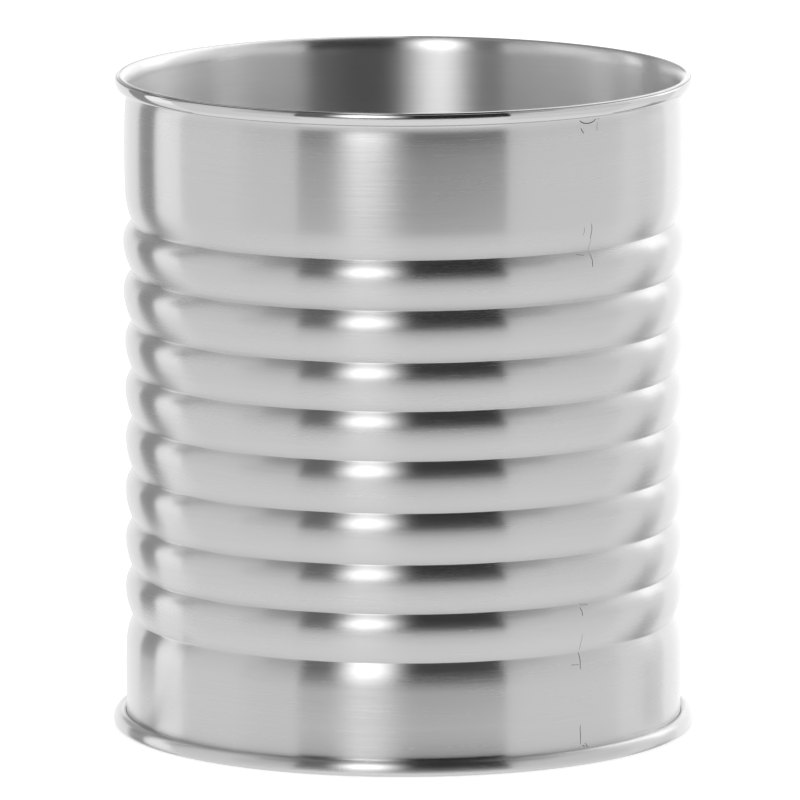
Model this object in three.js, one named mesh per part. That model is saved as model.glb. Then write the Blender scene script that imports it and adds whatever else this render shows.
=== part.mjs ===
// Open-topped stainless steel can with a beaded wall.
// Four pieces: the rolled body sheet, the weld strip that closes it, the pressed base end
// and the sealing ring inside the rolled base joint.
// Millimetres, +Z up. Origin: middle of the underside. The front of the can looks along -Y.

import * as THREE from 'three';
import { mergeGeometries, mergeVertices } from 'three/addons/utils/BufferGeometryUtils.js';

// Sheet and overall size
const SHEET = 0.5;
const HEIGHT = 118.0;
const WALL_R = 50.07; // outer radius of the plain upper band, where its faint barrel is widest
const SEGMENTS = 40; // steps round the axis, shared by every turned piece

// Curled rim: the wall flares out to a crest, which is rolled down and tucked in outside
const NECK_R = 49.84; // outer radius just under the curl
const CURL_CREST_R = 50.9; // where the middle line of the curl is highest
const FLARE_START_Z = 115.3;
const CURL_WIDEST_Z = 117.18;
const CURL_WIDTH = 0.61; // half-axis of the rolled part's middle line, from the crest outwards
const CURL_DROP = 1.27; // and from its widest place down to its lowest
const CURL_TUCK = -115; // degrees at which the free edge ends, inside the roll

// Beads: V grooves with a rounded rib between each pair
const GROOVE_HEIGHTS = [19.8, 28.5, 37.3, 46.5, 55.8, 64.65, 73.3, 82.55, 91.5];
const GROOVE_R = 48.6; // sheet's middle line is half a sheet further in
const RIB_R = [50.05, 50.0, 50.0, 49.95, 50.0, 50.0, 50.25, 50.3];
const RIB_CREST = 0.62; // share of the pitch at which the rib is widest, from its lower groove
const LOWER_POWER = 1.9;
const UPPER_POWER = 2.3;

// Upper band: barely barrelled, from where it leaves the top groove to just under the curl
const UPPER_BAND_START_R = 49.98;
const UPPER_BAND_START_Z = 97.2;
const UPPER_BAND_WIDEST_Z = 102.5;
const UPPER_BAND_SHOULDER_R = 49.995;
const UPPER_BAND_SHOULDER_Z = 108.0;
const UPPER_BAND_END_R = 49.86;
const UPPER_BAND_END_Z = 113.0;

// Lower band and the swell over the base's upstand
const LOWER_BAND_R = 49.95;
const LOWER_BAND_TOP_Z = 16.4;
const SWELL_R = 50.3;
const SWELL_TOP_Z = 7.2;
const BAND_END_Z = 8.2;

// Body's bottom flange, gripped by the base's rolled edge
const FLANGE_Z = 1.45; // middle line of the flange
const FLANGE_BEND_R = 0.45;
const FLANGE_END_R = 51.3;

// Side seam
const SEAM_ANGLE = THREE.MathUtils.degToRad(40.4); // from the front, towards +X
const WELD_WIDTH = 1.2;
const WELD_GAP = 0.2; // clearance on each side of the weld strip

// Base end
const PANEL_Z = 7.05; // middle line of the flat panel
const PANEL_CORNER_R = 0.85;
const UPSTAND_R = 49.4; // middle line of the upstand inside the body
const FOOT_INNER_BEND_R = 0.5;
const FOOT_R = 52.46; // foot ring, low down on its section, to the corners of the facets: 52.3 to the flats
const FOOT_LOWER_BEND_R = 0.55; // middle line
const FOOT_SHOULDER_WIDTH = 1.15; // half-axes of the egg-shaped shoulder's middle line
const FOOT_SHOULDER_HEIGHT = 1.75;
const FOOT_SHOULDER_TURN = 104; // degrees from the widest point, over the top, to the lip

// Sealing ring
const SEAL_INNER_R = 50.32;
const SEAL_OUTER_R = 51.2;
const SEAL_BOTTOM_Z = 0.62;
const SEAL_TOP_Z = 1.08;

const HALF = SHEET / 2;

/**
 * Points of an elliptical bend in the (radius, height) plane, from its centre and half-axes.
 * Angles are in degrees: 0 is outwards, 90 is up.
 */
function bend(cr, cz, width, height, from, to, steps) {
  const points = [];
  for (let i = 0; i <= steps; i += 1) {
    const a = THREE.MathUtils.degToRad(from + ((to - from) * i) / steps);
    points.push(new THREE.Vector2(cr + width * Math.cos(a), cz + height * Math.sin(a)));
  }
  return points;
}

/** The same with a round bend. */
function arc(cr, cz, radius, from, to, steps) {
  return bend(cr, cz, radius, radius, from, to, steps);
}

/** Rib middle-line radius at share u of the pitch above its lower groove. */
function ribRadius(u, crestR) {
  const grooveR = GROOVE_R - HALF;
  const rise = crestR - HALF - grooveR;
  const away = u < RIB_CREST ? (RIB_CREST - u) / RIB_CREST : (u - RIB_CREST) / (1 - RIB_CREST);
  return grooveR + rise * (1 - away ** (u < RIB_CREST ? LOWER_POWER : UPPER_POWER));
}

/** Closed outline of a bent sheet, from the middle line that it follows. */
function sheetOutline(path, thickness) {
  const left = [];
  const right = [];
  for (let i = 0; i < path.length; i += 1) {
    const before = path[Math.max(i - 1, 0)];
    const after = path[Math.min(i + 1, path.length - 1)];
    const d1 = path[i].clone().sub(before).normalize();
    const d2 = after.clone().sub(path[i]).normalize();
    if (i === 0) d1.copy(d2);
    if (i === path.length - 1) d2.copy(d1);
    const mitre = new THREE.Vector2(d1.y + d2.y, -d1.x - d2.x);
    mitre.multiplyScalar(thickness / 2 / (1 + d1.dot(d2)));
    right.push(path[i].clone().add(mitre));
    left.push(path[i].clone().sub(mitre));
  }
  return right.concat(left.reverse());
}

/** The body's middle line, from the flange's edge up to the curl's free edge. */
function bodyPath() {
  const path = [new THREE.Vector2(FLANGE_END_R, FLANGE_Z)];
  const bendR = SWELL_R - HALF + FLANGE_BEND_R;
  path.push(...arc(bendR, FLANGE_Z + FLANGE_BEND_R, FLANGE_BEND_R, 270, 180, 3));
  path.push(new THREE.Vector2(SWELL_R - HALF, SWELL_TOP_Z));
  path.push(new THREE.Vector2(LOWER_BAND_R - HALF, BAND_END_Z));
  path.push(new THREE.Vector2(LOWER_BAND_R - HALF, LOWER_BAND_TOP_Z));
  const grooveR = GROOVE_R - HALF;
  const reach = GROOVE_HEIGHTS[0] - LOWER_BAND_TOP_Z;
  const rise = LOWER_BAND_R - HALF - grooveR;
  path.push(new THREE.Vector2(grooveR + rise * (1 - 0.6 ** UPPER_POWER), LOWER_BAND_TOP_Z + 0.6 * reach));
  RIB_R.forEach((crestR, i) => {
    const z0 = GROOVE_HEIGHTS[i];
    const pitch = GROOVE_HEIGHTS[i + 1] - z0;
    [0, 0.28, RIB_CREST, 0.85].forEach((u) => {
      path.push(new THREE.Vector2(ribRadius(u, crestR), z0 + u * pitch));
    });
  });
  const top = GROOVE_HEIGHTS[GROOVE_HEIGHTS.length - 1];
  const run = UPPER_BAND_START_Z - top;
  [0, 0.45].forEach((u) => {
    const r = grooveR + (UPPER_BAND_START_R - HALF - grooveR) * (1 - (1 - u) ** LOWER_POWER);
    path.push(new THREE.Vector2(r, top + u * run));
  });
  path.push(new THREE.Vector2(UPPER_BAND_START_R - HALF, UPPER_BAND_START_Z));
  path.push(new THREE.Vector2(WALL_R - HALF, UPPER_BAND_WIDEST_Z));
  path.push(new THREE.Vector2(UPPER_BAND_SHOULDER_R - HALF, UPPER_BAND_SHOULDER_Z));
  path.push(new THREE.Vector2(UPPER_BAND_END_R - HALF, UPPER_BAND_END_Z));
  const crestZ = HEIGHT - HALF;
  const flareR = CURL_CREST_R - NECK_R + HALF;
  path.push(...bend(CURL_CREST_R, FLARE_START_Z, flareR, crestZ - FLARE_START_Z, 180, 90, 5));
  path.push(...bend(CURL_CREST_R, CURL_WIDEST_Z, CURL_WIDTH, crestZ - CURL_WIDEST_Z, 60, 0, 2));
  path.push(...bend(CURL_CREST_R, CURL_WIDEST_Z, CURL_WIDTH, CURL_DROP, -30, CURL_TUCK, 3));
  return path;
}

/** The base end's middle line, from the axis out to the lip of the foot ring. */
function basePath() {
  const path = [new THREE.Vector2(0, PANEL_Z)];
  const cornerR = UPSTAND_R - PANEL_CORNER_R;
  path.push(...arc(cornerR, PANEL_Z - PANEL_CORNER_R, PANEL_CORNER_R, 90, 0, 3));
  const innerR = UPSTAND_R + FOOT_INNER_BEND_R;
  path.push(...arc(innerR, HALF + FOOT_INNER_BEND_R, FOOT_INNER_BEND_R, 180, 270, 3));
  const lowerR = FOOT_R - HALF - FOOT_LOWER_BEND_R;
  path.push(...arc(lowerR, HALF + FOOT_LOWER_BEND_R, FOOT_LOWER_BEND_R, -90, 0, 3));
  const shoulderR = FOOT_R - HALF - FOOT_SHOULDER_WIDTH;
  const shoulderZ = HALF + FOOT_LOWER_BEND_R;
  const first = FOOT_SHOULDER_TURN / 6;
  path.push(
    ...bend(shoulderR, shoulderZ, FOOT_SHOULDER_WIDTH, FOOT_SHOULDER_HEIGHT, first, FOOT_SHOULDER_TURN, 5),
  );
  return path;
}

/** Turned surface of a closed outline between two angles, without end faces. */
function turned(outline, from, length, steps) {
  const geometry = new THREE.LatheGeometry([...outline, outline[0]], steps, from, length);
  geometry.deleteAttribute('normal');
  geometry.deleteAttribute('uv');
  return geometry;
}

/** End face of a turned piece: the outline filled in, standing at an angle round the axis. */
function endFace(outline, angle, atEnd) {
  const geometry = new THREE.ShapeGeometry(new THREE.Shape(outline));
  geometry.deleteAttribute('normal');
  geometry.deleteAttribute('uv');
  const place = new THREE.Matrix4().makeBasis(
    new THREE.Vector3(Math.sin(angle), 0, Math.cos(angle)),
    new THREE.Vector3(0, 1, 0),
    new THREE.Vector3(-Math.cos(angle), 0, Math.sin(angle)),
  );
  geometry.applyMatrix4(place);
  if (atEnd) {
    const index = geometry.getIndex();
    for (let i = 0; i < index.count; i += 3) {
      const a = index.getX(i);
      index.setX(i, index.getX(i + 2));
      index.setX(i + 2, a);
    }
  }
  return geometry;
}

/** One closed geometry from its surfaces, stood up so that the axis is +Z. */
function joined(surfaces) {
  const geometry = mergeVertices(mergeGeometries(surfaces), 1e-4);
  geometry.rotateX(Math.PI / 2);
  geometry.computeVertexNormals();
  return geometry;
}

function mesh(name, geometry, color, roughness, metalness) {
  const material = new THREE.MeshStandardMaterial({ color, roughness, metalness });
  const piece = new THREE.Mesh(geometry, material);
  piece.name = name;
  return piece;
}

const can = new THREE.Group();
const step = (2 * Math.PI) / SEGMENTS;
const bodyOutline = sheetOutline(bodyPath(), SHEET);

// Body: one sheet rolled into a tube that stops short of meeting at the side seam
const slit = (WELD_WIDTH / 2 + WELD_GAP) / WALL_R;
const bodyStart = SEAM_ANGLE + slit;
const bodyEnd = SEAM_ANGLE + 2 * Math.PI - slit;
const bodyGeometry = joined([
  turned(bodyOutline, bodyStart, step - slit, 1),
  turned(bodyOutline, SEAM_ANGLE + step, 2 * Math.PI - 2 * step, SEGMENTS - 2),
  turned(bodyOutline, SEAM_ANGLE + 2 * Math.PI - step, step - slit, 1),
  endFace(bodyOutline, bodyStart, false),
  endFace(bodyOutline, bodyEnd, true),
]);
can.add(mesh('body_shell', bodyGeometry, 0xc6c7c8, 0.28, 1.0));

// Weld strip: the fused metal that closes the tube, from the flange to the curl
const weldHalf = WELD_WIDTH / 2 / WALL_R;
const weldGeometry = joined([
  turned(bodyOutline, SEAM_ANGLE - weldHalf, 2 * weldHalf, 1),
  endFace(bodyOutline, SEAM_ANGLE - weldHalf, false),
  endFace(bodyOutline, SEAM_ANGLE + weldHalf, true),
]);
can.add(mesh('side_seam_weld', weldGeometry, 0xbdbebf, 0.34, 1.0));

// Base end: a pressed disc whose outline starts and ends on the axis
const baseOutline = sheetOutline(basePath(), SHEET);
baseOutline[0].x = 0;
baseOutline[baseOutline.length - 1].x = 0;
const baseTurned = new THREE.LatheGeometry(baseOutline, SEGMENTS, SEAM_ANGLE);
baseTurned.deleteAttribute('normal');
baseTurned.deleteAttribute('uv');
can.add(mesh('base_end', joined([baseTurned]), 0xc2c3c4, 0.3, 1.0));

// Sealing ring: compound squeezed between the flange and the base
const sealOutline = [
  new THREE.Vector2(SEAL_INNER_R, SEAL_BOTTOM_Z),
  new THREE.Vector2(SEAL_OUTER_R, SEAL_BOTTOM_Z),
  new THREE.Vector2(SEAL_OUTER_R, SEAL_TOP_Z),
  new THREE.Vector2(SEAL_INNER_R, SEAL_TOP_Z),
];
const sealGeometry = joined([turned(sealOutline, SEAM_ANGLE, 2 * Math.PI, SEGMENTS)]);
can.add(mesh('seam_sealing_ring', sealGeometry, 0x55585a, 0.8, 0.0));

export default can;
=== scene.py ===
# %% [markdown]
# # A beaded steel can
#
# The object is an empty round can with an open top. A strip of stainless steel was rolled into
# a tube and welded edge to edge, its top edge was curled outwards, eight rounded beads were
# rolled into the wall to stiffen it, and a pressed disc was folded round the bottom flange.
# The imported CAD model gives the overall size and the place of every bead. This script makes
# the fine surfaces that the coarse CAD solids stand for, and the finish that looks like steel.

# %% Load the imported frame
import math

import bpy
import numpy as np
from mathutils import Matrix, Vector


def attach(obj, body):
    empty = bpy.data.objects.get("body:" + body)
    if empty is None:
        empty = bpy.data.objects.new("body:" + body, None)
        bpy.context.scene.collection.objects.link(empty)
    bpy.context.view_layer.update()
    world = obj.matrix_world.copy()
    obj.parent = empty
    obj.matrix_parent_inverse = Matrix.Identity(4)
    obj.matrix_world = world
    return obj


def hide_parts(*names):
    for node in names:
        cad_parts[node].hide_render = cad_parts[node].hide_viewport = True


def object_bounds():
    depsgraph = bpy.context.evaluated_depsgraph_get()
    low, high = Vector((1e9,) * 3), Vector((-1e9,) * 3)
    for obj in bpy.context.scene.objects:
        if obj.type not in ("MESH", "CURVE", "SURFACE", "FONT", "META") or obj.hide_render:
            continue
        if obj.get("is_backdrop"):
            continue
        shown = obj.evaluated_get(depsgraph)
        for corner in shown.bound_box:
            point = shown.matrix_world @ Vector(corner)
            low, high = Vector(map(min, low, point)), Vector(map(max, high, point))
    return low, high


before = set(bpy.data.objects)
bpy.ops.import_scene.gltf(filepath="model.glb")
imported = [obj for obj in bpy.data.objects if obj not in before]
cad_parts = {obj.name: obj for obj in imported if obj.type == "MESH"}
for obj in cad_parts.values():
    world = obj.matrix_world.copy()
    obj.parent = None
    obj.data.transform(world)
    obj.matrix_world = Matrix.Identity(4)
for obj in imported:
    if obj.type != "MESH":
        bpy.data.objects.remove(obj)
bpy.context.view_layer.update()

MM = 0.001

# %% [markdown]
# ## The sheet as a line
#
# Every piece of the can is one sheet, half a millimetre thick, turned round the upright axis.
# So its shape is a line in the plane of radius and height: the middle of the sheet. The line
# is worked out first, and it is given its thickness afterwards by stepping half a sheet to
# each side along its normal. That is closer to how a can is made than drawing both faces.

# %% Sizes shared with the CAD part, in millimetres
SHEET = 0.5
HALF = SHEET / 2
HEIGHT = 118.0
GROOVES = np.array([19.8, 28.5, 37.3, 46.5, 55.8, 64.65, 73.3, 82.55, 91.5])
GROOVE_R = 48.6 - HALF
CRESTS = np.array([50.05, 50.0, 50.0, 49.95, 50.0, 50.0, 50.25, 50.3]) - HALF
CREST_PLACE = 0.62
print(len(CRESTS), "beads between", len(GROOVES), "grooves in a sheet of", SHEET, "mm")

# %% Sizes that are finer here than in the CAD part, in millimetres and degrees
# The CAD seam stands straight up at 40.4 degrees from the front. Here it leans a little.
SEAM_LOW, SEAM_HIGH = math.radians(39.9), math.radians(41.9)
FOOT_TOP, LOWER_BAND_TOP = 2.2, 14.0
UPPER_BAND_START, UPPER_BAND_END = 97.2, 115.2
UNDER_CURL = 115.3
CURL_R, CURL_Z, CURL_WIDTH = 50.9, 117.18, 0.61
print("seam leans by", round(math.degrees(SEAM_HIGH - SEAM_LOW), 1), "degrees round the can")


# %% Curves that the middle line is made of
def bend(centre_r, centre_z, half_width, half_height, start, end, count=60):
    """Elliptical bend: r = centre_r + half_width cos a, z = centre_z + half_height sin a."""
    a = np.radians(np.linspace(start, end, count))
    return np.stack([centre_r + half_width * np.cos(a), centre_z + half_height * np.sin(a)], 1)


def straight(r0, z0, r1, z1, count=20):
    """Straight run between two points of the radius and height plane."""
    t = np.linspace(0, 1, count)[:, None]
    return np.array([r0, z0]) * (1 - t) + np.array([r1, z1]) * t


def bead(low, high, crest, count=80):
    """One rib: groove + rise (1 - u^1.9) below the crest and groove + rise (1 - u^2.3) above,
    where u is the distance from the crest as a share of the distance to that groove."""
    share = np.linspace(0, 1, count)
    below = share < CREST_PLACE
    away = np.where(below, 1 - share / CREST_PLACE, (share - CREST_PLACE) / (1 - CREST_PLACE))
    swell = 1 - np.where(below, away**1.9, away**2.3)
    return np.stack([GROOVE_R + (crest - GROOVE_R) * swell, low + (high - low) * share], 1)


# %% [markdown]
# ## Smoothing and sampling the line
#
# A roller leaves a small radius in every groove, so the line is laid out at even steps and
# smoothed with a narrow bell curve. Then it is sampled again, closely where it bends and
# widely where it runs straight. The number of faces goes where reflections bend.


# %% Smooth and sample
def even(line, step):
    """The line at even steps of its own length."""
    travelled = np.append(0, np.cumsum(np.hypot(*np.diff(line, axis=0).T)))
    keep = np.append(True, np.diff(travelled) > 1e-9)
    at = np.arange(0, travelled[-1], step)
    return np.stack([np.interp(at, travelled[keep], line[keep, k]) for k in (0, 1)], 1)


def smoothed(line, width, step=0.02):
    """The line averaged under a bell curve of that width, with both ends kept in place."""
    line = even(line, step)
    reach = int(4 * width / step)
    bell = np.exp(-0.5 * (np.arange(-reach, reach + 1) * step / width) ** 2)
    bell /= bell.sum()
    ahead = 2 * line[0] - line[reach:0:-1]
    after = 2 * line[-1] - line[-2 : -reach - 2 : -1]
    long = np.concatenate([ahead, line, after])
    return np.stack([np.convolve(long[:, k], bell, "valid") for k in (0, 1)], 1)


def normals(line):
    """Unit normals to the right of the line's direction: (dz, -dr) over its length."""
    d = np.gradient(line, axis=0)
    d /= np.hypot(*d.T)[:, None]
    return np.stack([d[:, 1], -d[:, 0]], 1)


def sampled(line, finest, widest, sharpness=0.6, step=0.02):
    """Points and normals at spacings of finest * bend radius ^ sharpness, up to the widest.
    The top of the curl has the sharpest reflections, so it gets the closest points."""
    n = normals(line)
    turn = np.hypot(*np.gradient(n, axis=0).T) / step
    turn = np.convolve(turn, np.ones(9) / 9, "same")
    spacing = np.clip(finest * (1 / np.maximum(turn, 1e-4)) ** sharpness, 0.04, widest)
    sharp_part = (line[:, 1] > 117.35) & (line[:, 0] > 51.0)
    spacing[sharp_part] = 0.03
    count = np.cumsum(step / spacing)
    picks = np.searchsorted(count, np.linspace(count[0], count[-1], int(count[-1]) + 2))
    picks = np.unique(np.clip(picks, 0, len(line) - 1))
    return line[picks], n[picks]


# %% [markdown]
# ## From a line to a turned piece
#
# A turned piece is a grid with the outline down one side and the angle round the axis along
# the other. The whole grid is worked out as arrays. A piece that is open at the seam gets a
# strip of faces across its cut edge at each end, so that it is a closed solid. A brushed finish
# takes its direction from the mesh's texture space, so that space is centred on the axis.


# %% A mesh object from points and faces
def make_piece(name, points, faces, attributes=None):
    """A mesh object from points in millimetres and lists of faces, shaded smooth."""
    mesh = bpy.data.meshes.new(name)
    mesh.from_pydata(points * MM, [], [f for block in faces for f in block.tolist()])
    for key, values in (attributes or {}).items():
        mesh.attributes.new(key, "FLOAT", "POINT").data.foreach_set("value", values)
    mesh.validate()
    mesh.shade_smooth()
    mesh.set_sharp_from_angle(angle=math.radians(50))
    mesh.use_auto_texspace = False
    mesh.texspace_location = (0, 0, HEIGHT / 2 * MM)
    mesh.texspace_size = (60 * MM, 60 * MM, 60 * MM)
    piece = bpy.data.objects.new(name, mesh)
    bpy.context.scene.collection.objects.link(piece)
    mesh.calc_loop_triangles()
    print(name, len(mesh.vertices), "points,", len(mesh.loop_triangles), "triangles")
    return piece


# %% Grids of points and their faces
def around(outline, angles):
    """Grid of points (outline, angle): x = r sin a, y = -r cos a, z = z, where a may be a row
    of angles for each outline point. a = 0 is the front, and it grows towards +X."""
    r, z = outline[:, :1], outline[:, 1:]
    return np.stack([r * np.sin(angles), -r * np.cos(angles), z + 0 * angles], 2)


def grid_faces(rows, columns, close_rows=False, close_columns=False):
    """Four-sided faces of a grid, facing out of an outline that runs anticlockwise."""
    i = np.arange(rows if close_rows else rows - 1)[:, None]
    j = np.arange(columns if close_columns else columns - 1)[None]
    i2, j2 = (i + 1) % rows, (j + 1) % columns
    corners = [i * columns + j, i * columns + j2, i2 * columns + j2, i2 * columns + j]
    return np.stack(corners, 2).reshape(-1, 4)


def fans(rows, columns):
    """Fans of triangles that close the first and the last ring of a grid. The tip of the first
    fan is the point after the whole grid, and the tip of the last fan is the next one."""
    j = np.arange(columns)
    j2 = (j + 1) % columns
    count = rows * columns
    first = np.stack([count + 0 * j, j2, j], 1)
    last = np.stack([count + 1 + 0 * j, count - columns + j, count - columns + j2], 1)
    return [first, last]


# %% [markdown]
# ## Two kinds of turned sheet
#
# The body and its weld stop at the seam, and the base goes all the way round. Both are a line
# with half a sheet on each side. Their finish differs from place to place: the inside is
# duller, and the curl was burnished by its roller. So a sheet carries values for its finish on
# its own points, which stay with it however it is moved. One value is painted light and shade:
# it lightens the inside face near the mouth, darkens it deeper down and darkens the crease round
# the curl.


# %% Sheets that are open at the seam
def seam_at(z):
    """Angle of the side seam's middle: it leans a little, so it grows evenly with height."""
    return SEAM_LOW + (SEAM_HIGH - SEAM_LOW) * z / HEIGHT


def finish_values(line, crease):
    """Values along the outer and the inner face: inside is 1 within the can, rolled is 1 on
    the curl, and the third value, painted light and shade, is added to a brightness of 1. It
    lightens the inner face near the mouth, darkens it deeper down and darkens the crease round
    the curl. The inner face comes out on top of the curl, so over takes it from inside to rolled
    as the line leaves the wall."""
    r, z = line.T
    hem = np.clip((z - 114.8) / 0.6, 0, 1)
    over = np.where(z > 100, np.clip((r - 50.35) / 0.45, 0, 1), 0)
    # Painted light and shade on the inside face: lighter near the mouth, darker deeper down.
    deep = np.interp(z, [55, 102, 115, 116.2], [-0.3, 0.58, 0.58, 0.3])
    none = np.zeros(len(line))
    return {
        "inside": (none, 1 - over),
        "rolled": (hem, hem * (0.35 + 0.65 * over)),
        # Painted shade: the crease round the curl is made darker.
        "painted_light_gain": (none, deep * (1 - over) - 6.0 * crease),
    }


def open_sheet(name, line, line_normals, angles_from_seam, thinning, crease):
    """A sheet that stops at the seam: outer face up, inner face down, and two cut edges.
    The faces are line + (half a sheet - thinning) normal and line - (half a sheet - crease)
    normal."""
    columns = len(angles_from_seam)
    angles = seam_at(line[:, 1:]) + angles_from_seam[None]
    outer = around(line + (HALF - thinning[:, None]) * line_normals, angles)
    inner = around(line - (HALF - crease[:, None]) * line_normals, angles)
    points = np.concatenate([outer, inner[::-1]]).reshape(-1, 3)
    attributes = {
        key: np.repeat(np.concatenate([out, back[::-1]]), columns)
        for key, (out, back) in finish_values(line, crease).items()
    }
    rows = 2 * len(line)
    top = np.arange(len(line) - 1)
    first = [top, top + 1, rows - 2 - top, rows - 1 - top]
    first = np.stack(first, 1) * columns
    last = first[:, ::-1] + columns - 1
    faces = [grid_faces(rows, columns, close_rows=True), first, last]
    return make_piece(name, points, faces, attributes)


# %% Sheets that start on the axis
def disc_sheet(name, line, line_normals, columns):
    """A sheet that starts on the axis: its two faces meet round the lip, and each face ends in
    one point on the axis, with a fan of triangles."""
    angles = np.arange(columns)[None] * 2 * math.pi / columns
    sides = [line + HALF * line_normals, (line - HALF * line_normals)[::-1]]
    outline = np.concatenate(sides)[::-1]
    ring = around(outline[1:-1], angles).reshape(-1, 3)
    poles = np.array([[0, 0, outline[0, 1]], [0, 0, outline[-1, 1]]])
    rows = len(outline) - 2
    faces = [grid_faces(rows, columns, close_columns=True), *fans(rows, columns)]
    return make_piece(name, np.concatenate([ring, poles]), faces)


# %% [markdown]
# ## The body
#
# From the bottom: the flange that the base grips, a slight swell where the base's upstand
# fills the tube, a plain band, eight beads between nine grooves, a plain upper band that is
# barely barrelled, and the curl, a round hem that makes the top edge stiff and safe to touch.

# %% Flange and lower band
flange = np.concatenate([straight(51.3, 1.45, 50.4, 1.45), bend(50.4, 1.9, 0.45, 0.45, 270, 180)])
lower_band = np.concatenate(
    [straight(49.95, 1.9, 49.95, 7.2), straight(49.7, 8.2, 49.7, LOWER_BAND_TOP)]
)
u = np.linspace(0, 1, 40)
shoulder_r = GROOVE_R + (49.7 - GROOVE_R) * (1 - u**2.6)
shoulder = np.stack([shoulder_r, LOWER_BAND_TOP + (GROOVES[0] - LOWER_BAND_TOP) * u], 1)
print("lowest groove", round(GROOVES[0] - LOWER_BAND_TOP, 1), "mm above the lower band")

# %% Beads and upper band
beads = [bead(GROOVES[i], GROOVES[i + 1], CRESTS[i]) for i in range(len(CRESTS))]
leave_r = GROOVE_R + (49.68 - GROOVE_R) * (1 - (1 - u) ** 1.9)
leave = np.stack([leave_r, GROOVES[-1] + (UPPER_BAND_START - GROOVES[-1]) * u], 1)
band_z = np.linspace(UPPER_BAND_START, UPPER_BAND_END, 181)
inner_band = np.interp(band_z, [UPPER_BAND_START, 104.0, UPPER_BAND_END], [49.43, 49.52, 49.35])
upper_band = np.stack([inner_band + HALF, band_z], 1)[1:]
print("upper band, inner radius:", inner_band[::45].round(2))

# %% Curl, and the whole line
flare = bend(CURL_R, UNDER_CURL, 1.31, 2.45, 180, 90)
curl_top = bend(CURL_R, CURL_Z, CURL_WIDTH, 0.57, 88, 0)
curl_tuck = bend(CURL_R, CURL_Z, CURL_WIDTH, 1.41, -2, -115)
body_line = [flange, lower_band, shoulder, *beads, leave, upper_band, flare, curl_top, curl_tuck]
body_line = smoothed(np.concatenate(body_line), 0.2)
body_line, body_normals = sampled(body_line, 0.17, 0.85)
print("body outline:", len(body_line), "points, widest", round(body_line[:, 0].max() + HALF, 2))

# %% [markdown]
# ## The outer face of the plain bands
#
# Rolling leaves the two plain bands slightly barrelled on the outside, and a mirror-like wall
# shows it: a tilt of one degree moves a reflection by two. So their outer face is given by its
# tilt in degrees, and adding up the tilt's tangents gives its radius. The sheet is thinned to
# meet it. A shallow crease runs round the curl where its roller pressed.


# %% Outer radius from tilt
def tilted(start_r, z, places, tilts, way):
    """Radius start_r + way * sum of tan(tilt) * step, over heights z, with the tilt in degrees
    read between the given places."""
    tilt = np.interp(z, places, tilts)
    return start_r + way * np.cumsum(np.tan(np.radians(tilt))) * 0.1


upper_places = [UPPER_BAND_START, 100, 104, 108, 110, 112, 113, 113.7, 114.3, 114.8, UNDER_CURL]
upper_tilts = [-2.6, -1.3, -0.2, 0.8, 1.6, 3.5, 5.5, 7.0, 4.5, 0.0, -2.0]
outer_band = tilted(49.93, band_z, upper_places, upper_tilts, -1)
low_z = np.linspace(LOWER_BAND_TOP, FOOT_TOP, 119)
low_places = [FOOT_TOP, 5, 7, 8.3, 10.5, 11.9, 13.3, LOWER_BAND_TOP]
outer_low = tilted(49.95, low_z, low_places, [4, 1, -0.6, -0.9, -0.4, 0.3, 1.0, 1.2], 1)
print("upper band, outer radius:", outer_band[::20].round(3))
print("lower band, outer radius:", outer_low[::20].round(3))

# %% Thinning and crease along the line
r_line, z_line = body_line.T
thinning = np.interp(z_line, band_z, inner_band + SHEET - outer_band, 0, 0)
thinning[(r_line > 50.0) | (z_line > UPPER_BAND_END)] = 0
low = (z_line > FOOT_TOP) & (z_line < LOWER_BAND_TOP)
thinning[low] = r_line[low] + HALF - np.interp(z_line[low], low_z[::-1], outer_low[::-1])
round_hem = np.degrees(np.arctan2(z_line - CURL_Z, r_line - CURL_R))
on_curl = (r_line > 50.95) & (z_line > 117.0)
crease = 0.11 * np.exp(-(((round_hem - 50) / 9) ** 2)) * on_curl
print("thinning up to", thinning.max().round(3), "mm, crease", crease.max().round(3), "mm deep")

# %% Roll the body and leave the slit that the weld fills
WELD_HALF = 0.6 / 50
TURNS = 144
edge_steps = np.radians([0, 0.02, 0.15, 0.6])
first_column = WELD_HALF + math.radians(1.4)
regular = np.linspace(first_column, 2 * math.pi - first_column, TURNS)
body_angles = np.concatenate(
    [WELD_HALF + edge_steps, regular, (2 * math.pi - WELD_HALF - edge_steps)[::-1]]
)
body = open_sheet("body_sheet", body_line, body_normals, body_angles, thinning, crease)

# %% [markdown]
# ## The weld
#
# The two edges of the sheet were pressed together and fused by a current, which left a narrow
# band of flattened metal from flange to curl. It follows the wall exactly, so it is the same
# line turned through a small angle, and it fills the slit that the body leaves.

# %% Weld strip
weld_angles = np.linspace(-WELD_HALF, WELD_HALF, 13)
weld = open_sheet("weld_strip", body_line, body_normals, weld_angles, thinning, crease)

# %% [markdown]
# ## Cracks along the weld
#
# Where the beads were rolled across the weld, the hard strip cracked and puckered, and there
# are hairlines and short burrs beside it. Each is made as a low dark strand that lies on the
# wall and is drawn out to a point at each end; its dark colour is painted shade of the crack.
# Its place is given along the wall from the seam, and up or down from the groove, the curl or
# the foot that it belongs to.

# %% Where the cracks are, in millimetres
LOWEST_GROOVE, SECOND_GROOVE, TOP_GROOVE = GROOVES[[0, 1, 8]]
chance = np.random.default_rng(4)


def crack(top, aside, length, drift, width):
    """A crack's width and its knots: aside + drift u to the right of the seam and top - length
    u up, for u from 0 to 1, with a small wander in between that comes from fixed chance."""
    u = np.linspace(0, 1, 5)
    wander = 0.12 * chance.uniform(-1, 1, 5) * np.sin(math.pi * u)
    return width, np.stack([aside + drift * u + wander, top - length * u], 1)


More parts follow.
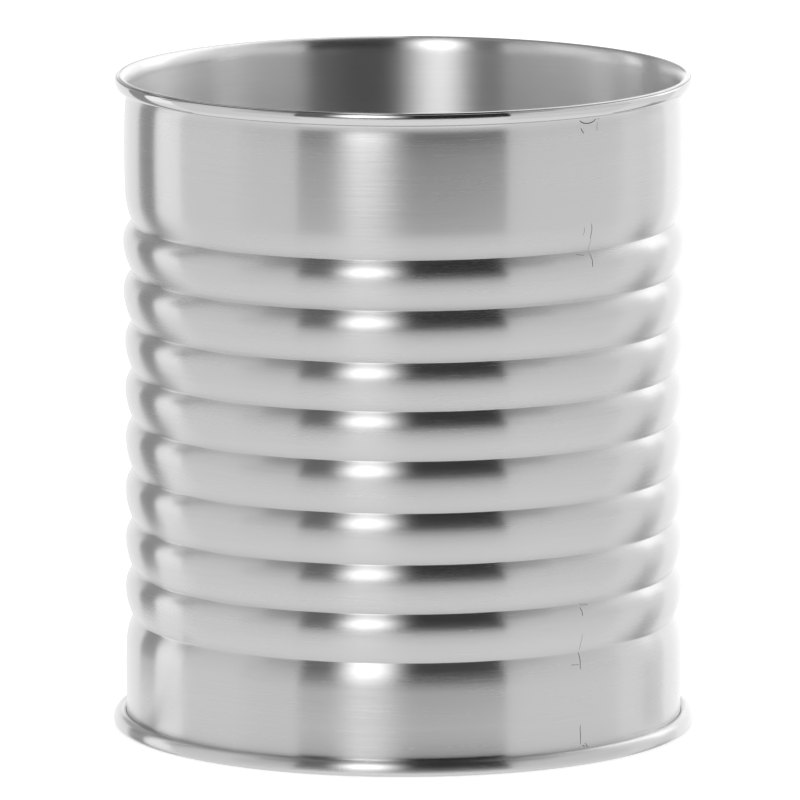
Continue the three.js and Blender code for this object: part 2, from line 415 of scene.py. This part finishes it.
bowl = bend(-1.0, UNDER_CURL, 2.0, 1.0, 180, 360, 13)
MARKS = [
    (0.17, bowl),
    crack(UNDER_CURL - 0.2, 1.4, 0.3, 0.1, 0.16),
    crack(UNDER_CURL - 1.0, 1.2, 1.5, -0.2, 0.06),
    crack(UNDER_CURL - 1.7, -2.7, 1.0, 0.6, 0.16),
    crack(TOP_GROOVE + 5.0, 0.0, 3.0, 0.3, 0.13),
    crack(TOP_GROOVE + 2.0, 0.3, 2.2, 0.1, 0.04),
    crack(TOP_GROOVE + 4.5, -1.6, 1.6, 0.0, 0.06),
    crack(TOP_GROOVE - 0.3, 0.3, 2.5, -0.2, 0.15),
    crack(TOP_GROOVE - 0.3, -2.8, 0.4, 1.6, 0.08),
    crack(SECOND_GROOVE, -0.5, 0.4, 0.4, 0.08),
    crack(SECOND_GROOVE - 0.2, 0.1, 0.2, 1.0, 0.08),
    crack(SECOND_GROOVE - 0.5, -0.8, 1.6, 0.0, 0.15),
    crack(LOWEST_GROOVE + 3.4, -0.7, 3.2, 0.1, 0.05),
    crack(LOWEST_GROOVE, -0.7, 3.0, -0.3, 0.15),
    crack(LOWEST_GROOVE - 2.0, -3.0, 0.1, 1.8, 0.08),
    crack(FOOT_TOP + 4.7, -1.0, 3.6, 0.0, 0.14),
    crack(FOOT_TOP + 1.0, -0.5, 0.4, 0.5, 0.13),
    crack(FOOT_TOP + 1.3, 0.1, 0.8, 0.6, 0.13),
]
print(len(MARKS), "cracks and hairlines")


# %% Strands on the wall
def on_wall(place):
    """Points (distance from the seam, height) laid on the outer face: the angle is the seam's
    plus distance over radius, and the radius is the wall's own at that height."""
    wall = body_line + (HALF - thinning[:, None]) * body_normals
    wall = wall[(wall[:, 0] < 50.6) & (wall[:, 1] > FOOT_TOP) & (wall[:, 1] < 115.4)]
    r = np.interp(place[:, 1], wall[:, 1], wall[:, 0])
    a = seam_at(place[:, 1]) + place[:, 0] / r
    return np.stack([r * np.sin(a), -r * np.cos(a), place[:, 1]], 1)


def route(knots, t):
    """The way through the knots at shares t of it, with its corners rounded once."""
    knot_shares = np.linspace(0, 1, len(knots))
    place = np.stack([np.interp(t, knot_shares, knots[:, k]) for k in (0, 1)], 1)
    rounded = (place[:-2] + 2 * place[1:-1] + place[2:]) / 4
    return on_wall(np.concatenate([place[:1], rounded, place[-1:]]))


def strand(width, knots, rows=25, columns=10, height=0.025):
    """A strand through the knots: rings of half-width w cos b along the wall and height
    h sin b off it, with w and h falling to nothing at both ends."""
    t = np.linspace(0, 1, rows)
    spine = route(knots, t)
    along = np.gradient(spine, axis=0)
    along /= np.linalg.norm(along, axis=1)[:, None]
    out = spine * (1, 1, 0) / np.hypot(*spine.T[:2])[:, None]
    side = np.cross(along, out)
    taper = np.sqrt(1 - (2 * t[1:-1] - 1) ** 4)[:, None, None]
    b = np.linspace(0, 2 * math.pi, columns, endpoint=False)[None, :, None]
    ring = width / 2 * np.cos(b) * side[1:-1, None] + height * np.sin(b) * out[1:-1, None]
    points = np.concatenate([(spine[1:-1, None] + taper * ring).reshape(-1, 3), spine[[0, -1]]])
    return points, [grid_faces(rows - 2, columns, close_columns=True), *fans(rows - 2, columns)]


# %% All cracks as one piece
points, faces = [], []
for width, knots in MARKS:
    more, blocks = strand(width, knots)
    faces += [block + sum(map(len, points)) for block in blocks]
    points.append(more)
cracks = make_piece("weld_cracks", np.concatenate(points), faces)

# %% [markdown]
# ## The base end
#
# The base is a pressed disc. Its flat panel sits a few millimetres up inside the tube, a corner
# takes it down, and its edge is folded out and over the flange. That fold is the bright ring
# that the can stands on. Its widest place is low down, so its upper side is a long slope.

# %% The base's middle line
panel = straight(0, 7.05, 48.5, 7.05, 200)
corner = bend(48.55, 6.2, 0.85, 0.85, 90, 0)
upstand = straight(49.4, 6.15, 49.4, 0.8)
foot_inside = bend(49.9, 0.75, 0.5, 0.5, 180, 270)
foot_flat = straight(49.95, 0.25, 51.45, 0.25)
foot_outside = bend(51.5, 0.8, 0.55, 0.55, -90, 0)
foot_shoulder = bend(50.9, 0.8, 1.15, 1.75, 2, 122)
base_line = np.concatenate(
    [panel, corner, upstand, foot_inside, foot_flat, foot_outside, foot_shoulder]
)
base_line = smoothed(base_line, 0.08)
base_line[0, 0] = 0
base_line, base_normals = sampled(base_line, 0.12, 2.0)
base_normals[0] = (0, -1)
print("base outline:", len(base_line), "points, widest", round(base_line[:, 0].max() + HALF, 2))

# %% Turn the base
base = disc_sheet("base_end_fine", base_line, base_normals, 180)

# %% [markdown]
# ## Node arithmetic
#
# A finish is a small program of shader nodes. Wrapping a node's output in a class that knows
# plus, minus and times lets that program be written as ordinary sums.


# %% A node output that can be added and multiplied
class Signal:
    """One output of a shader node. Sums of signals and numbers add Math nodes."""

    def __init__(self, tree, socket):
        self.tree, self.socket = tree, socket

    def node(self, kind, inputs, output=0, **settings):
        """Adds a node of any kind: its settings first, then its inputs' values or links."""
        added = self.tree.nodes.new(kind)
        for key, value in settings.items():
            setattr(added, key, value)
        for key, value in inputs.items():
            if isinstance(value, Signal):
                self.tree.links.new(value.socket, added.inputs[key])
            else:
                added.inputs[key].default_value = value
        return Signal(self.tree, added.outputs[output])

    def maths(self, operation, *values):
        return self.node("ShaderNodeMath", dict(enumerate(values)), operation=operation)

    def __add__(self, other):
        return self.maths("ADD", self, other)

    def __sub__(self, other):
        return self.maths("SUBTRACT", self, other)

    def __rsub__(self, other):
        return self.maths("SUBTRACT", other, self)

    def __mul__(self, other):
        return self.maths("MULTIPLY", self, other)

    __radd__, __rmul__ = __add__, __mul__


# %% Helpers that every finish uses
def new_finish(name):
    """A material with its shader, and a signal to start from: the object coordinates."""
    material = bpy.data.materials.new(name)
    material.use_nodes = True
    tree = material.node_tree
    shader = tree.nodes["Principled BSDF"]
    start = Signal(tree, None)
    place = start.node("ShaderNodeTexCoord", {}, output="Object")
    return material, shader, place


def feed(shader, **signals):
    """Links signals to the shader's inputs; an underscore in a name stands for a space."""
    for key, signal in signals.items():
        signal.tree.links.new(signal.socket, shader.inputs[key.replace("_", " ")])


def shade(factor, dark, light):
    """A colour between a dark and a light one, by the factor."""
    ends = {0: factor, 6: (*dark, 1), 7: (*light, 1)}
    return factor.node("ShaderNodeMix", ends, output=2, data_type="RGBA")


def bumped(height, strength, distance):
    """A surface direction tilted by a height, of that strength and depth in metres."""
    inputs = {"Height": height, "Strength": strength, "Distance": distance}
    return height.node("ShaderNodeBump", inputs)


# %% [markdown]
# ## Brushed steel
#
# The sheet is brushed round and round the can, so its scratches are long along the wall and
# very close together up and down. Scratches like that blur a reflection across themselves and
# leave it sharp along them: that is anisotropy, turned a quarter so that the blur is upright.


# %% Noise that is turned round the axis
def turned_noise(place, along, across, detail, roughness):
    """Noise with marks that are long round the can and short in height and radius."""
    flat = place.node("ShaderNodeVectorMath", {0: place, 1: (1, 1, 0)}, operation="MULTIPLY")
    radius = flat.node("ShaderNodeVectorMath", {0: flat}, output="Value", operation="LENGTH")
    stretched = place.node("ShaderNodeMapping", {0: place, "Scale": (along, along, across)})
    inputs = {"Vector": stretched, "W": radius * across, "Scale": 1.0}
    inputs |= {"Detail": detail, "Roughness": roughness}
    return place.node("ShaderNodeTexNoise", inputs, noise_dimensions="4D")


def carried(place, name):
    """A value that the piece carries on its points, or 0 where it carries none."""
    return place.node("ShaderNodeAttribute", {}, output="Fac", attribute_name=name)


# %% Brushed steel
DARK_STEEL, LIGHT_STEEL = (0.53, 0.53, 0.53), (0.63, 0.63, 0.63)


def brushed_steel(name, roughness):
    """Steel whose colour and roughness follow fine scratches and soft bands round the can. Its
    colour is also scaled by the painted light and shade that the piece carries. It is duller
    inside, and it is smoother and unscratched on the curl."""
    material, shader, place = new_finish(name)
    scratches = turned_noise(place, 90, 5200, 3.0, 0.6)
    mixed = scratches * 0.6 + turned_noise(place, 12, 420, 2.0, 0.5) * 0.4
    inside, rolled = carried(place, "inside"), carried(place, "rolled")
    # Painted light and shade: the colour is scaled by one plus the value carried on the points.
    brightness = {0: shade(mixed, DARK_STEEL, LIGHT_STEEL), "Scale": carried(place, "painted_light_gain") + 1.0}
    tone = place.node("ShaderNodeVectorMath", brightness, operation="SCALE")
    flat = 1.0 - rolled
    rough = mixed * 0.12 + (roughness - 0.06) + flat * inside * 0.12 - rolled * 0.15
    feed(shader, Base_Color=tone, Roughness=rough, Normal=bumped(scratches * flat, 0.3, 0.00002))
    shader.inputs["Metallic"].default_value = 1
    shader.inputs["Anisotropic"].default_value = 1.0
    shader.inputs["Anisotropic Rotation"].default_value = 0.25
    print(name, "has", len(material.node_tree.nodes), "nodes")
    return material


body_finish = brushed_steel("brushed_body_steel", 0.26)
weld_finish = brushed_steel("brushed_weld_steel", 0.26)
base_finish = brushed_steel("brushed_base_steel", 0.24)

# %% [markdown]
# ## Painted crack shade and sealing compound
#
# The cracks are given dull dark metal, painted shade of their narrow crevices. The compound is
# a paste that sets to rubber in the fold of the base, and nobody sees it on a whole can. Both
# are plain finishes: one noise makes the colour, the roughness and the grain uneven together.


# %% Painted shade in the cracks
def painted_crack_shade():
    """Painted shade of the crevices: dull dark metal, a little uneven along each crack."""
    material, shader, place = new_finish("crack_painted_shade")
    uneven = place.node("ShaderNodeTexNoise", {"Vector": place, "Scale": 3000.0, "Detail": 2.0})
    # Painted shade: near-black metal stands for the shade inside each crack.
    tone = shade(uneven, (0.03, 0.03, 0.03), (0.16, 0.16, 0.16))
    bump = bumped(uneven, 0.3, 0.00002)
    feed(shader, Base_Color=tone, Roughness=uneven * 0.2 + 0.35, Normal=bump)
    shader.inputs["Metallic"].default_value = 1
    return material


# %% Sealing compound
def sealing_compound():
    """Grey rubber-like paste: matt, a little mottled, with a grainy surface."""
    material, shader, place = new_finish("grey_sealing_compound")
    grain = place.node("ShaderNodeTexNoise", {"Vector": place, "Scale": 2500.0, "Detail": 4.0})
    tone = shade(grain, (0.075, 0.08, 0.085), (0.12, 0.125, 0.13))
    feed(shader, Base_Color=tone, Roughness=grain * 0.2 + 0.6, Normal=bumped(grain, 0.4, 0.0001))
    return material


# %% [markdown]
# ## Dressing the pieces
#
# Each fine piece takes the place of one CAD node and moves with the can. The cracks belong to
# the weld. The sealing ring is hidden, so the CAD node itself is kept and only gets a finish.


# %% Dress the pieces
def dress(piece, finish, node):
    """Gives a piece its finish and its body, and hides the CAD node that it stands for."""
    piece.data.materials.append(finish)
    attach(piece, "root")
    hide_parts(node)
    print(piece.name, "stands for", node)


dress(body, body_finish, "body_shell")
dress(weld, weld_finish, "side_seam_weld")
dress(cracks, painted_crack_shade(), "side_seam_weld")
dress(base, base_finish, "base_end")
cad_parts["seam_sealing_ring"].material_slots[0].material = sealing_compound()

# %% [markdown]
# ## The studio
#
# Steel shows what is round it. White all round would leave the can flat, so a dark canopy
# stands in front of it, with a softbox beside the camera. The canopy makes the dark bands and
# the softbox makes the bright stripe between them. Every card here is seen only in reflections,
# so it gives no light of its own to the floor and throws no shadow.


# %% Cards
def glowing(name, level):
    """A card's surface: an even glow of that level."""
    material = bpy.data.materials.new(name)
    material.use_nodes = True
    tree = material.node_tree
    tree.nodes.clear()
    glow = tree.nodes.new("ShaderNodeEmission")
    glow.inputs["Strength"].default_value = level
    out = tree.nodes.new("ShaderNodeOutputMaterial")
    tree.links.new(glow.outputs[0], out.inputs[0])
    return material


def stage_card(name, level, points):
    """A card from a grid of points, seen only in reflections."""
    rows, columns = points.shape[:2]
    mesh = bpy.data.meshes.new(name)
    mesh.from_pydata(points.reshape(-1, 3), [], grid_faces(rows, columns).tolist())
    mesh.materials.append(glowing(name + "_glow", level))
    made = bpy.data.objects.new(name, mesh)
    bpy.context.scene.collection.objects.link(made)
    made.visible_camera = made.visible_diffuse = made.visible_shadow = False
    made.visible_transmission = False
    made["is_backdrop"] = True
    return made


# %% [markdown]
# ## The dark canopy and the softbox
#
# One wide dark sheet stands a metre in front of the can and bends over it. Its edges make the
# sharp ends of the dark bands. The softbox glows through it a little left of the camera, as a
# soft-edged stripe that starts above the floor and fades before it is overhead.


# %% Canopy
def canopy(name, left, right, start, end=95.0, reach=1.0, rise=1.9):
    """A strip that stands in front of the can and bends over it: y = -reach cos b and
    z = rise sin b, a little raised, for b from start to end in degrees, between two sides."""
    b = np.radians(np.linspace(start, end, 25))[:, None]
    x = np.linspace(left, right, 9)[None]
    y, z = -reach * np.cos(b), 0.02 + rise * np.sin(b)
    return stage_card(name, 1.0, np.stack([x + 0 * b, y + 0 * x, z + 0 * x], 2))


def step_up(signal, start, end):
    """0 before the start, 1 after the end, and an S-curve between them."""
    ends = {0: signal, 1: start, 2: end, 3: 0.0, 4: 1.0}
    return signal.node("ShaderNodeMapRange", ends, interpolation_type="SMOOTHSTEP")


front = canopy("front_canopy", -0.93, 0.90, start=-3)

# %% Softbox stripe in the canopy's glow
glow_tree = front.data.materials[0].node_tree
place = Signal(glow_tree, None).node("ShaderNodeTexCoord", {}, output="Object")
x = place.node("ShaderNodeSeparateXYZ", {0: place}, output="X")
z = place.node("ShaderNodeSeparateXYZ", {0: place}, output="Z")
stripe = step_up(x, -0.66, -0.30) * (1.0 - step_up(x, -0.234, 0.123))
stripe = stripe.maths("POWER", stripe, 1.5)
lift = step_up(z, 0.06, 0.38) * (1.0 - step_up(z, 0.85, 1.45) * 0.85)
grey_half = x.maths("LESS_THAN", x, -0.275)
level = grey_half * 0.14 + 0.03 + stripe * lift * 2.9
glow_tree.links.new(level.socket, glow_tree.nodes["Emission"].inputs["Color"])
print("front canopy:", len(glow_tree.nodes), "nodes in its glow")

# %% [markdown]
# ## Walls and ceiling
#
# The rest of the room is a set of curved walls. Each is given by its directions from the can:
# the azimuth from the camera, to the right, and the elevation. White ones make the bright
# edges, grey ones make the grey stripes near the edges and in the inside, and the ceiling is
# darker than the walls.


# %% Walls
def wing(name, level, azimuths, elevations, distance=1.2):
    """A curved wall round the can between two azimuths and two elevations in degrees:
    x = flat sin a, y = -flat cos a, z = distance sin e, where flat = distance cos e."""
    a = np.radians(np.linspace(*azimuths, 17))[None]
    e = np.radians(np.linspace(*elevations, 17))[:, None]
    flat, z = distance * np.cos(e), 0.02 + distance * np.sin(e)
    return stage_card(name, level, np.stack([flat * np.sin(a), -flat * np.cos(a), z + 0 * a], 2))


def floor_strip(name, level, azimuths, near, far):
    """A strip that lies on the floor beside the can, half a millimetre up, between two
    azimuths and two distances from the axis."""
    a = np.radians(np.linspace(*azimuths, 9))[None]
    d = np.linspace(near, far, 9)[:, None]
    return stage_card(name, level, np.stack([d * np.sin(a), -d * np.cos(a), 0.0005 + 0 * d * a], 2))


# %% Every wall: its glow, azimuths, elevations and distance
WALLS = {
    "floor_glow": (1.12, (-180, 180), (-89, 0), 1.4),
    "left_ceiling": (0.62, (-180, -43), (45, 89), 2.7),
    "right_ceiling": (0.62, (43, 180), (45, 89), 2.7),
    "left_gap": (0.35, (-76, -43), (38, 75), 2.2),
    "right_gap": (0.35, (43, 76), (38, 75), 2.2),
    "left_side_floor": (0.98, (-102, -43), (-30, -3), 1.35),
    "right_side_floor": (0.98, (43, 100), (-30, -3), 1.35),
    "left_wing": (0.93, (-103, -70), (0, 45), 1.25),
    "right_low_wing": (0.92, (50, 100), (8, 38), 1.25),
    "bright_left_wing": (1.4, (-122.5, -103), (-10, 40), 1.2),
    "grey_upper_strip": (0.25, (-114, -104), (16, 70), 1.15),
    "grey_left_card": (0.40, (-138.5, -122.5), (-40, 25), 1.2),
    "far_left_wing": (1.1, (-180, -138.5), (-60, 13), 1.2),
    "far_left_upper": (0.5, (-180, -138.5), (13, 30), 1.2),
    "far_left_top": (0.30, (-180, -122.5), (25, 89), 1.25),
    "right_wing": (1.03, (100, 135), (-12, 40), 1.2),
    "far_right_wing": (1.26, (135, 180), (-12, 70), 1.2),
    "high_right_wing": (1.9, (124, 146), (15, 60), 1.15),
    "grey_right_strip": (0.45, (121.5, 138.5), (-40, -16), 1.2),
}
for wall, (glow, azimuths, elevations, distance) in WALLS.items():
    wing(wall, glow, azimuths, elevations, distance)
floor_strip("near_floor", 1.12, (-128, -80), 0.056, 0.12)
print(len(WALLS), "walls and a floor strip")

# %% [markdown]
# ## Floor, room and camera
#
# The floor is plain and nearly white, lit a little from within so that it meets the white room
# without an edge. The room light is even and soft, which leaves only a faint shadow. The camera
# has a long lens and looks down at about ten degrees, so the far rim shows over the near one.

# %% Floor
bpy.ops.mesh.primitive_plane_add(size=3.2)
floor = bpy.context.object
floor.name = "pale_floor"
floor.visible_glossy = False
floor_finish = bpy.data.materials.new("pale_floor_finish")
floor_finish.use_nodes = True
floor_shader = floor_finish.node_tree.nodes["Principled BSDF"]
floor_shader.inputs["Base Color"].default_value = (0.85, 0.85, 0.85, 1)
floor_shader.inputs["Roughness"].default_value = 0.9
floor_shader.inputs["Specular IOR Level"].default_value = 0.0
floor_shader.inputs["Emission Color"].default_value = (1, 1, 1, 1)
floor_shader.inputs["Emission Strength"].default_value = 0.51
floor.data.materials.append(floor_finish)
floor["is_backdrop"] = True
print("floor", round(floor.dimensions.x, 1), "m wide")

# %% Room light
world = bpy.data.worlds.new("white_room")
world.use_nodes = True
world.node_tree.nodes["Background"].inputs["Color"].default_value = (1, 1, 1, 1)
world.node_tree.nodes["Background"].inputs["Strength"].default_value = 0.80
bpy.context.scene.world = world
bpy.context.scene.view_settings.view_transform = "Standard"

# %% Camera
lens = bpy.data.cameras.new("camera")
lens.lens = 509
lens.sensor_width = 36
lens.shift_x = -0.0044
lens.clip_end = 20
camera = bpy.data.objects.new("camera", lens)
camera.location = (0, -2.006, 0.393)
camera.rotation_euler = (math.radians(90 - 9.46), 0, 0)
bpy.context.scene.collection.objects.link(camera)
bpy.context.scene.camera = camera
print("camera", round(camera.location.length, 2), "m away, lens", round(lens.lens), "mm")

# %% Measure and finish
low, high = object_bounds()
print("visual box in mm:", [round(v / MM, 2) for v in (*low, *high)])
